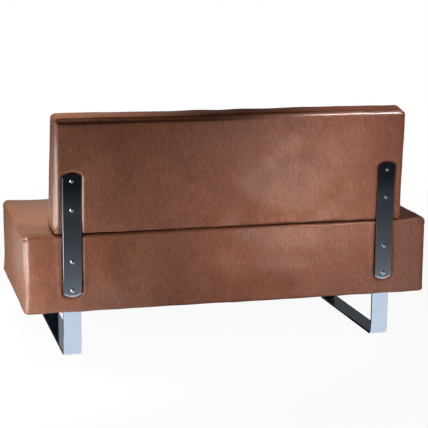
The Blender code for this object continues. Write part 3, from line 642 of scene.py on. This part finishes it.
def seat_detail(points, normal):
    """Relief and painted shade of the seat: seams, bars, slit, puckers and soft unevenness."""
    x, y, z = points.T
    end, rear, _, top = seat_faces(normal)
    under = facing(-normal[:, 2])
    tall = crowned(z, SEAT_LOW, SEAT_TOP)
    seams = (SEAT_REAR - ROLL - SEAM_SETBACK, SEAT_FRONT + ROLL + SEAM_SETBACK,
             SEAT_TOP - ROLL - SEAM_SETBACK)
    # Hollow where the back rests, raised corners and full ends
    under_back = (1 - smooth(0.605, 0.66, np.abs(x))) * smooth(0.10, 0.17, y)
    ears = bell(SEAT_HALF_X - np.abs(x), EAR_REACH)
    ears = ears * bell(np.minimum(SEAT_REAR - y, y - SEAT_FRONT), EAR_REACH)
    lift = top * (EAR_LIFT * ears - REST_DEPTH * under_back) + end * by_end(x, *SEAT_END_LIFT)
    # Pressed in by the bars, with a hollow below each of them
    gap = bar_clearance(np.abs(x) - BAR_X, z, BAR_LOW, BAR_BEND + 0.2)
    lift += rear * pressed(gap, SEAT_PRESS * np.clip(tall * 1.4, 0, 1), SEAT_PRESS_REACH, SEAT_LIP)
    lift -= rear * BAR_FOOT_DEPTH * bell(np.abs(x) - BAR_X, 0.034) * bell(z - BAR_LOW + 0.004, 0.020)
    lift -= rear * DIMPLE_DEPTH * bell(np.hypot(x - DIMPLE_X, z - DIMPLE_Z), DIMPLE_REACH)
    lift += RIPPLE * waves(x + 0.6 * y, z + 0.4 * y, 3, 0.16) * (1 - top * under_back)
    lift += rear * LONG_RIPPLE * waves(x, 2.5 * z, 5, 0.30) * tall
    # Hem turned under, full foot of the ends and raised right edge of the top
    lift += under * by_end(x, *REAR_HEM_LIFT) * smooth(0.3045, 0.309, y)
    lift += under * END_HEM_LIFT * smooth(0.680, 0.690, np.abs(x)) * (1 - smooth(0.296, 0.312, y))
    lift += end * by_end(x, *SEAT_FOOT_LIFT) * bell(z - SEAT_LOW, 0.035)
    lift += top * TOP_EDGE_LIFT * bell(x + 0.690, TOP_EDGE_REACH) * (1 - smooth(0.24, 0.315, y))
    from_corner = SEAT_HALF_X - np.abs(x) + SEAT_REAR - y
    lift -= FLAT_DEPTH * (end + rear) * bell(from_corner - FLAT_PLACE, FLAT_REACH)
    lift, painted_shade = sewn(lift, end, top, (x, y, z), seams, 10, SEAM_DEPTH, SEAT_SEAM_SHADES)
    # Painted shade in the slit under the back, and beside the bars
    reach = 0.300 + 0.006 * smooth(0.10, -0.10, x)
    slit_shade = (1 - smooth(0.585, 0.600, np.abs(x))) * smooth(0.13, 0.18, y)
    slit_shade = slit_shade * (1 - smooth(reach, reach + 0.010, y))
    painted_shade = np.maximum(painted_shade, slit_shade * smooth(0.55, 0.85, normal[:, 2]))
    painted_shade = np.maximum(painted_shade, BAR_EDGE_SHADE * rear * bell(gap, BAR_SHADE))
    for corner in seams[:2]:
        folds, painted_shade = puckers(painted_shade, np.abs(x) - SEAT_HALF_X, y - corner, z - seams[2], *SEAT_PUCKERS)
        lift += folds
    return lift, painted_shade


def cushion_lattice(box, depth_pitch, marks):
    """Rolled box with fine grid lines at its seams, beside the bars and at marks in its height."""
    low, high = box
    bars = [(side * BAR_X + edge * BAR_HALF, *BAR_GRID) for side in (-1, 1) for edge in (-1, 1)]
    seams = [(low[1] + ROLL + SEAM_SETBACK, *SEAM_GRID), (high[1] - ROLL - SEAM_SETBACK, *SEAM_GRID)]
    xs = grid_lines(low[0], high[0], ROLL, bars, WIDE_PITCH)
    ys = grid_lines(low[1], high[1], ROLL, seams, depth_pitch)
    zs = grid_lines(low[2], high[2], ROLL, [(high[2] - ROLL - SEAM_SETBACK, *SEAM_GRID), *marks], FINE_PITCH)
    points, quads = box_lattice(xs, ys, zs)
    points, normal = rolled(points, low, high, ROLL)
    points[:, 2] = tightened(points[:, 2], low[2])
    return points, normal, quads


SIM_FRAMES, SIM_PITCH, SIM_PRESSURE = 20, 0.020, 4.0
SIM_QUALITY, SIM_NEIGHBOURS = 6, 9
# Points this close to an edge of the skin don't move
SIM_EDGE = 0.021


def swell(name, points, quads, held):
    """Blows a coarse skin up under pressure and returns how far each of its points moved."""
    mesh = bpy.data.meshes.new(name)
    mesh.from_pydata(points.tolist(), [], quads)
    skin = linked(name, mesh)
    group = skin.vertex_groups.new(name="held")
    group.add([int(index) for index in np.flatnonzero(held)], 1.0, "REPLACE")
    cloth = skin.modifiers.new("swell", "CLOTH")
    cloth.settings.quality = SIM_QUALITY
    cloth.settings.use_pressure = True
    cloth.settings.uniform_pressure_force = SIM_PRESSURE
    cloth.settings.effector_weights.gravity = 0.0
    cloth.settings.vertex_group_mass = "held"
    cloth.collision_settings.use_collision = False
    cloth.point_cache.frame_start = 1
    cloth.point_cache.frame_end = SIM_FRAMES
    for step in range(1, SIM_FRAMES + 1):
        scene.frame_set(step)
    settled = skin.evaluated_get(bpy.context.evaluated_depsgraph_get()).data
    moved = np.empty(3 * len(points))
    settled.vertices.foreach_get("co", moved)
    bpy.data.objects.remove(skin, do_unlink=True)
    scene.frame_set(1)
    return moved.reshape(-1, 3) - points


def cloth_crown(name, box, resting, faces, heights):
    """Crown of the panels from simulated cloth, scaled to set heights."""
    low, high = box
    counts = [int(round((end - start) / SIM_PITCH)) for start, end in zip(low, high)]
    lines = [np.linspace(start, end, count + 1) for start, end, count in zip(low, high, counts)]
    points, quads = box_lattice(*lines)
    rest, normal = rolled(points, low, high, ROLL)
    edge = np.sort(np.minimum(points - np.array(low), np.array(high) - points), axis=1)[:, 1]
    held = (edge < SIM_EDGE) | resting(points, normal)
    moved = np.sum(swell(name, rest, quads, held) * normal, axis=1)
    lift = np.zeros(len(points))
    for share, height in zip(faces(normal), heights):
        panel = np.where(share > 0.9, moved, 0.0)
        lift += share * height * np.clip(panel, 0.0, None) / max(panel.max(), 1e-6)
    tree = KDTree(len(points))
    for index, spot in enumerate(rest):
        tree.insert(spot, index)
    tree.balance()

    def crown(spots, normals):
        result = np.zeros(len(spots))
        for index, (spot, outward) in enumerate(zip(spots, normals)):
            total = weight = 0.0
            for _, near, distance in tree.find_n(spot, SIM_NEIGHBOURS):
                alike = max(float(outward @ normal[near]), 0.0) ** 4
                share = math.exp(-(distance / SIM_PITCH) ** 2) * alike
                total += share * lift[near]
                weight += share
            result[index] = total / max(weight, 1e-9)
        return result

    return crown


def seat_rests(points, normal):
    """Points of the seat's skin under the back, under a bar or on the underside."""
    x, y, z = points.T
    under_back = (normal[:, 2] > 0.9) & (np.abs(x) < BACK_HALF_X + 0.02) & (y > 0.13)
    under_bar = (normal[:, 1] > 0.9) & (np.abs(np.abs(x) - BAR_X) < BAR_HALF + 0.01) & (z > BAR_LOW - 0.01)
    return under_back | under_bar | (normal[:, 2] < -0.5)


def seat_surface(points, normal):
    lift, painted_shade = seat_detail(points, normal)
    lift = lift + seat_crown(points, normal)
    return points + normal * lift[:, None], painted_shade


def make_seat():
    points, normal, quads = cushion_lattice(SEAT_BOX, WIDE_PITCH, SEAT_MARKS)
    points, painted_shade = seat_surface(points, normal)
    piece = make_piece("seat_upholstery", points, quads, LEATHER, painted_shade)
    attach(piece, "root")
    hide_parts("seat_cover", "seat_foam")


def back_thickness(height):
    return BACK_LOW_THICK + (BACK_TOP_THICK - BACK_LOW_THICK) * height / BACK_HEIGHT + BACK_PROUD


def back_to_world(points):
    """From the back's box (x, depth from the rear face, height) to its reclined wedge."""
    x, depth, height = points.T
    share = np.clip(height / BACK_HEIGHT, 0, 1)
    thick = back_thickness(height)
    middle = ROLL + (depth - ROLL) / (BACK_BOX_DEPTH - 2 * ROLL) * (thick - 2 * ROLL)
    depth = np.where(depth < ROLL, depth, np.where(depth > BACK_BOX_DEPTH - ROLL,
                                                   thick - BACK_BOX_DEPTH + depth, middle))
    local_y = BACK_PROUD - depth
    local_z = height + BACK_RISE * depth / thick * share - depth * math.tan(RECLINE) * (1 - share)
    y = BACK_REAR + local_z * math.sin(RECLINE) + local_y * math.cos(RECLINE)
    z = BACK_BOTTOM + local_z * math.cos(RECLINE) - local_y * math.sin(RECLINE)
    return np.stack([x, y, z], axis=1)


def back_faces(normal):
    """Shares of the ends, the rear, the front, the top and the underside at each point."""
    across, deep, up = normal.T
    return np.abs(across) ** 2, facing(-deep), facing(deep), facing(up), facing(-up)


def back_detail(points, normal):
    """Relief and painted shade of the back: seams, bars, gathered lower edge and soft unevenness."""
    x, depth, height = points.T
    end, rear, _, top, under = back_faces(normal)
    right_half, left_half = smooth(-0.05, 0.20, -x), smooth(-0.22, 0.10, x)
    seams = (ROLL + SEAM_SETBACK, BACK_BOX_DEPTH - ROLL - SEAM_SETBACK, BACK_HEIGHT - ROLL - SEAM_SETBACK)
    # Pressed in by the bars; full ends and sagging front of the top
    bend = (BAR_BEND - BACK_BOTTOM) / math.cos(RECLINE)
    gap = bar_clearance(np.abs(x) - BAR_X, height, -0.2, bend + BAR_ABOVE_BEND)
    lip = BACK_LIP + BACK_LIP_RIPPLE * waves(height, x, 28, 0.12)
    lift = rear * pressed(gap, BACK_PROUD, BACK_PRESS_REACH, lip)
    lift += RIPPLE * waves(x, height + depth, 23, 0.17) + end * by_end(x, *BACK_END_LIFT)
    lift -= top * smooth(0.0, BACK_BOX_DEPTH, depth) * TOP_SAG * bell(x - 0.20, 0.25)
    lift += rear * LONG_RIPPLE * waves(x, 2.0 * height, 24, 0.30)
    # Uneven lower edge on the right, hem line on the left
    low_edge = bell(height - 0.011, 0.012) * right_half
    lift += rear * LOW_EDGE_RIPPLE * low_edge * waves(x, 0 * x, 25, 0.10)
    hem = smooth(0.10, 0.20, x) * (1 - smooth(0.49, 0.52, x))
    from_hem = height - HEM_LINE_HEIGHT - 0.001 * waves(x, 0 * x, 27, 0.15)
    lift -= rear * hem * HEM_LINE_DEPTH * bell(from_hem, HEM_LINE_WIDTH)
    lift, painted_shade = sewn(lift, end, top, (x, depth, height), seams, 30, BACK_TOP_SEAM_DEPTH, BACK_SEAM_SHADES)
    # Slack roll along the left of the top, with painted shade in it, and painted shade along the right of
    # the top beside its rear seam
    slack = left_half * bell(depth + (BACK_HEIGHT - height) - 0.012, 0.005) * (rear + top)
    lift -= SLACK_DEPTH * slack
    from_corner = BACK_HALF_X - np.abs(x) + depth
    lift -= FLAT_DEPTH * (end + rear) * bell(from_corner - FLAT_PLACE, FLAT_REACH)
    painted_shade = np.maximum(painted_shade, SLACK_SHADE * slack)
    top_rear_shade = top * (1 - smooth(0.05, 0.25, x)) * (0.60 + 0.38 * smooth(-0.45, -0.15, x))
    painted_shade = np.maximum(painted_shade, top_rear_shade * bell(depth - 0.022, 0.009))
    # Painted shade on the underside, along the lower edge, in the hem line and beside the bars
    painted_shade = np.maximum(painted_shade, smooth(0.60, 0.95, -normal[:, 2]))
    wavy = 0.003 * waves(x, 0 * x, 26, 0.12)
    painted_shade = np.maximum(painted_shade, 0.75 * rear * right_half * bell(height - 0.002 - wavy, 0.006))
    painted_shade = np.maximum(painted_shade, 0.30 * rear * hem * bell(height - HEM_LINE_HEIGHT, HEM_LINE_WIDTH))
    painted_shade = np.maximum(painted_shade, BAR_EDGE_SHADE * rear * bell(gap, BAR_SHADE))
    outward = np.abs(x) - BACK_HALF_X
    for corner in seams[:2]:
        folds, painted_shade = puckers(painted_shade, outward, depth - corner, height - seams[2], *BACK_PUCKERS)
        lift += folds
    folds, painted_shade = puckers(painted_shade, outward, depth - 0.006, height - 0.012, *LOW_PUCKERS)
    lift += folds * (1 - under)
    return lift * (1 - 0.7 * under), painted_shade


def back_rests(points, normal):
    """Points of the back's skin under a bar or on the underside."""
    x, depth, height = points.T
    top = (BAR_BEND - BACK_BOTTOM) / math.cos(RECLINE) + BAR_ABOVE_BEND + 0.01
    under_bar = (normal[:, 1] < -0.9) & (np.abs(np.abs(x) - BAR_X) < BAR_HALF + 0.01) & (height < top)
    return under_bar | (normal[:, 2] < -0.5)


def back_surface(points, normal):
    lift, painted_shade = back_detail(points, normal)
    lift = lift + back_crown(points, normal)
    return back_to_world(points + normal * lift[:, None]), painted_shade


def make_back():
    points, normal, quads = cushion_lattice(BACK_BOX, FINE_PITCH, BACK_MARKS)
    points, painted_shade = back_surface(points, normal)
    quads = [quad[::-1] for quad in quads]
    piece = make_piece("back_upholstery", points, quads, LEATHER, painted_shade)
    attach(piece, "root")
    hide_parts("back_cover", "back_foam")


STITCH_PITCH, STITCH_SHARE = 0.0050, 0.62
STITCH_RADIUS, STITCH_OFFSET = 0.00050, 0.0030
# Height of the lowest stitch above the lower edge
STITCH_START = 0.014


def stitch_row(surface, start, stop, normal):
    """Ends of the stitches along one straight row on a panel."""
    start, stop = np.array(start), np.array(stop)
    count = int(np.linalg.norm(stop - start) / STITCH_PITCH)
    share = np.arange(count) / count
    rows = []
    for shift in (0.0, STITCH_SHARE / count):
        points = start + (share + shift)[:, None] * (stop - start)
        normals = np.tile(np.array(normal, float), (count, 1))
        rows.append(surface(points, normals)[0])
    return rows[0], rows[1]


def make_stitches(name, rows):
    """Short raised threads, each a slim closed spindle."""
    points, faces = [], []
    for heads, tails in rows:
        for head, tail in zip(heads, tails):
            along = (tail - head) / np.linalg.norm(tail - head)
            across = np.cross(along, (0.3, 0.5, 0.8))
            across /= np.linalg.norm(across)
            over = np.cross(along, across)
            base = len(points)
            points.append(tuple(head))
            for share in (0.22, 0.78):
                middle = head + share * (tail - head)
                for turn in range(4):
                    angle = math.pi / 2 * turn
                    out = math.cos(angle) * across + math.sin(angle) * over
                    points.append(tuple(middle + STITCH_RADIUS * out))
            points.append(tuple(tail))
            for turn in range(4):
                after = (turn + 1) % 4
                faces.append((base, base + 1 + after, base + 1 + turn))
                faces.append((base + 1 + turn, base + 1 + after, base + 5 + after, base + 5 + turn))
                faces.append((base + 5 + turn, base + 5 + after, base + 9))
    piece = make_piece(name, np.array(points), faces, THREAD)
    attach(piece, "root")


def stitch_cushion(name, surface, half, rear, front, low, high):
    """Stitches round both ends and along the top, a little inside the seams."""
    start, top = low + STITCH_START, high - ROLL - STITCH_OFFSET
    first, last = min(rear, front), max(rear, front)
    rows = []
    for side in (-half, half):
        normal = (math.copysign(1, side), 0, 0)
        rows.append(stitch_row(surface, (side, rear, start), (side, rear, top), normal))
        rows.append(stitch_row(surface, (side, front, start), (side, front, top), normal))
        rows.append(stitch_row(surface, (side, first, top), (side, last, top), normal))
    reach = half - ROLL
    for across in (rear, front):
        rows.append(stitch_row(surface, (-reach, across, high), (reach, across, high), (0, 0, 1)))
    make_stitches(name, rows)


seat_crown = cloth_crown("seat_skin", SEAT_BOX, seat_rests, seat_faces, SEAT_CROWNS)
back_crown = cloth_crown("back_skin", BACK_BOX, back_rests, back_faces, BACK_CROWNS)
make_seat()
make_back()
stitch_cushion("seat_stitching", seat_surface, SEAT_HALF_X, SEAT_REAR - ROLL - STITCH_OFFSET,
               SEAT_FRONT + ROLL + STITCH_OFFSET, SEAT_LOW, SEAT_TOP)
stitch_cushion("back_stitching", back_surface, BACK_HALF_X, ROLL + STITCH_OFFSET,
               BACK_BOX_DEPTH - ROLL - STITCH_OFFSET, 0.0, BACK_HEIGHT)


# Stage

# The floor's glow near the sofa and far from it, and the distances between which it changes
FLOOR_GLOW, FLOOR_FADE = (0.94, 1.0), (0.9, 3.2)
FLOOR_REACH = 40
FLOOR_GREY = (0.86, 0.86, 0.86, 1.0)
CARD_COLOUR = (0.92, 0.96, 1.0, 1.0)


def seen_directly(tree):
    """One for camera, mirror and see-through rays, nothing for diffuse ones."""
    rays = add(tree, "ShaderNodeLightPath").outputs
    direct = reckon(tree, "MAXIMUM", rays["Is Camera Ray"], rays["Is Glossy Ray"])
    return reckon(tree, "MAXIMUM", direct, rays["Is Transmission Ray"])


def make_floor():
    """Pale floor that shows the sofa's shadow and is white further away."""
    mesh = bpy.data.meshes.new("floor")
    reach = FLOOR_REACH
    corners = [(-reach, -reach, 0), (reach, -reach, 0), (reach, reach, 0), (-reach, reach, 0)]
    mesh.from_pydata(corners, [], [(0, 1, 2, 3)])
    floor = linked("floor", mesh)
    material, tree = bare_material("pale_floor")
    matt = add(tree, "ShaderNodeBsdfDiffuse", Color=FLOOR_GREY)
    glow = add(tree, "ShaderNodeEmission", Color=(*WHITE, 1.0), Strength=1.0)
    where = add(tree, "ShaderNodeTexCoord")
    length = add(tree, "ShaderNodeVectorMath", operation="LENGTH")
    tree.links.new(where.outputs["Object"], length.inputs[0])
    share = spread(tree, length.outputs["Value"], *FLOOR_GLOW, *FLOOR_FADE)
    show(tree, "Material Output", reckon(tree, "MULTIPLY", share, seen_directly(tree)), matt, glow)
    mesh.materials.append(material)


def make_reflected(name, points, faces, near, far, axis_scale, bright, dim):
    """A studio surface that only shows in reflections, dimmer away from its origin."""
    mesh = bpy.data.meshes.new(name)
    mesh.from_pydata(points, [], faces)
    card = linked(name, mesh)
    material, tree = bare_material(name)
    length = add(tree, "ShaderNodeVectorMath", operation="LENGTH")
    tree.links.new(placed(tree, axis_scale), length.inputs[0])
    glow = add(tree, "ShaderNodeEmission", Color=CARD_COLOUR)
    tree.links.new(spread(tree, length.outputs["Value"], bright, dim, near, far), glow.inputs["Strength"])
    tree.links.new(glow.outputs[0], tree.nodes["Material Output"].inputs["Surface"])
    mesh.materials.append(material)
    card.visible_camera = False
    card.visible_diffuse = False
    card.visible_shadow = False
    card.visible_transmission = False


STUDIO_REACH, STUDIO_HEIGHT = 7.0, 5.0
CARD_LIFT = 0.0008
# Edges of the reflected floor cards: across, and from front to rear
CARD_X, CARD_FRONT, CARD_MIDDLE, CARD_REAR = 2.2, -0.36, 0.282, 0.98
CARD_COLUMNS = (-CARD_X, -1.15, -0.40, 0.22, 0.80, CARD_X)
EVEN, ALONG_X, MOSTLY_DEEP = (1, 1, 1), (1, 0, 0), (0.2, 1, 1)


def make_dark_studio():
    """Walls and floor cards that the metal and the leather mirror."""
    reach, lift = STUDIO_REACH, CARD_LIFT
    square = ((-reach, -reach), (reach, -reach), (reach, reach), (-reach, reach))
    corners = [(x, y, z) for z in (-0.02, STUDIO_HEIGHT) for x, y in square]
    make_reflected("studio_walls", corners, [(1, 2, 6, 5), (2, 3, 7, 6), (3, 0, 4, 7), (4, 5, 6, 7)],
                   4.0, 9.0, EVEN, 0.005, 0.003)
    make_reflected("studio_front", corners, [(0, 1, 5, 4)], 0.4, 2.0, ALONG_X, 0.23, 0.065)
    outer = [(x, y, lift) for x, y in square]
    inner = [(-CARD_X, CARD_FRONT, lift), (CARD_X, CARD_FRONT, lift), (CARD_X, CARD_REAR, lift),
             (-CARD_X, CARD_REAR, lift)]
    middle = [(-CARD_X, CARD_MIDDLE, lift), (CARD_X, CARD_MIDDLE, lift)]
    make_reflected("front_floor", outer + inner, [(0, 1, 5, 4)], 0.5, 5.0, EVEN, 0.06, 0.03)
    make_reflected("rear_floor", outer + inner, [(1, 2, 6, 5), (2, 3, 7, 6), (3, 0, 4, 7)], 1.05, 2.1,
                   MOSTLY_DEEP, 0.25, 0.060)
    make_reflected("under_floor", inner + middle, [(0, 1, 5, 4)], 0.0, 3.0, EVEN, 0.002, 0.002)
    strip = [(x, y, lift) for x in CARD_COLUMNS for y in (CARD_MIDDLE, CARD_REAR)]
    panes = [(2 * step, 2 * step + 2, 2 * step + 3, 2 * step + 1) for step in range(len(CARD_COLUMNS) - 1)]
    make_reflected("near_floor", strip, panes[1::2], 0.0, 3.0, EVEN, 0.80, 0.76)
    make_reflected("side_floor", strip, panes[0::2], 0.0, 3.0, EVEN, 0.06, 0.06)


ROOM_GLOW = 0.05


def make_softbox(name, place, target, width, height, radiance, beam=180.0, mirrored=True, tint=WHITE):
    """A flat lamp that faces its target; mirrored=False hides it from mirror rays."""
    lamp = bpy.data.lights.new(name, "AREA")
    lamp.shape = "RECTANGLE"
    lamp.size, lamp.size_y = width, height
    lamp.energy = radiance * math.pi * width * height
    lamp.spread = math.radians(beam)
    lamp.color = tint
    holder = linked(name, lamp)
    holder.location = place
    holder.visible_glossy = mirrored
    aim = Vector(target) - Vector(place)
    holder.rotation_euler = aim.to_track_quat("-Z", "Y").to_euler()


def make_world():
    """White where it is seen directly, and a weak light otherwise."""
    world = bpy.data.worlds.new("white_room")
    scene.world = world
    world.use_nodes = True
    tree = world.node_tree
    soft = tree.nodes["Background"]
    soft.inputs["Color"].default_value = (*WHITE, 1.0)
    soft.inputs["Strength"].default_value = ROOM_GLOW
    plain = add(tree, "ShaderNodeBackground", Color=(*WHITE, 1.0), Strength=1.0)
    show(tree, "World Output", seen_directly(tree), soft, plain)


make_floor()
make_dark_studio()
make_world()
# Lamps along the sofa's left end, and a fill for each end of the seat
make_softbox("end_softbox", (1.2, -0.15, 0.28), (0.70, -0.02, 0.28), 0.50, 0.30, 9.4, tint=(0.86, 1.0, 0.98))
make_softbox("left_strip", (1.2, 0.58, 0.32), (0.66, 0.32, 0.30), 0.56, 0.50, 7.6, tint=(0.90, 1.0, 0.99))
make_softbox("left_softbox", (1.2, 0.86, 0.30), (0.66, 0.32, 0.28), 0.50, 0.45, 4.2, tint=(0.92, 1.0, 0.99))
make_softbox("left_fill", (0.95, 0.75, 0.26), (0.62, 0.32, 0.26), 0.20, 0.20, 1.0, 60.0, mirrored=False)
make_softbox("right_fill", (-0.80, 0.75, 0.26), (-0.66, 0.32, 0.26), 0.20, 0.20, 0.8, 60.0, mirrored=False)
# Pool of light on the right half of the rear, and its sheen
make_softbox("pool_high", (-0.42, 1.60, 0.90), (-0.18, 0.33, 0.48), 0.50, 0.50, 1.60, 50.0, mirrored=False)
make_softbox("pool_near", (-0.68, 1.25, 0.56), (-0.44, 0.33, 0.38), 0.35, 0.35, 2.0, 70.0, mirrored=False)
make_softbox("pool_sheen", (-0.60, 1.50, 0.22), (-0.19, 0.33, 0.60), 0.34, 0.35, 1.7, 140.0,
             tint=(1.0, 0.90, 0.78))
make_softbox("roll_spot", (-1.00, 0.84, 1.83), (-0.62, 0.34, 1.02), 0.55, 0.40, 1.25, 24.0)
make_softbox("seat_top_softbox", (0.68, -0.10, 1.9), (0.66, 0.05, 0.42), 0.40, 0.60, 9.4, 60.0,
             mirrored=False, tint=(0.80, 1.0, 0.99))
make_softbox("front_softbox", (0.3, -2.2, 2.4), (0.2, 0.0, 0.6), 2.0, 1.4, 0.5, mirrored=False)


# Camera, at the photograph's angle

IMAGE, SENSOR = 428, 36.0
FOCAL_PIXELS = 1324.44
CAMERA_PLACE = Vector((1.1876, 4.5248, 1.3314))
CAMERA_YAW, CAMERA_PITCH, CAMERA_ROLL = -0.2607, 0.1958, 0.0069


def make_camera():
    yaw, pitch, roll = CAMERA_YAW, CAMERA_PITCH, CAMERA_ROLL
    forward = Vector((math.sin(yaw) * math.cos(pitch), -math.cos(yaw) * math.cos(pitch), -math.sin(pitch)))
    right = Vector((-math.cos(yaw), -math.sin(yaw), 0.0))
    up = right.cross(forward)
    right, up = math.cos(roll) * right + math.sin(roll) * up, math.cos(roll) * up - math.sin(roll) * right
    turn = Matrix((right, up, -forward)).transposed()
    data = bpy.data.cameras.new("camera")
    data.sensor_width = SENSOR
    data.lens = FOCAL_PIXELS * SENSOR / IMAGE
    camera = linked("camera", data)
    camera.matrix_world = Matrix.Translation(CAMERA_PLACE) @ turn.to_4x4()
    scene.camera = camera


make_camera()
scene.view_settings.view_transform = "Standard"
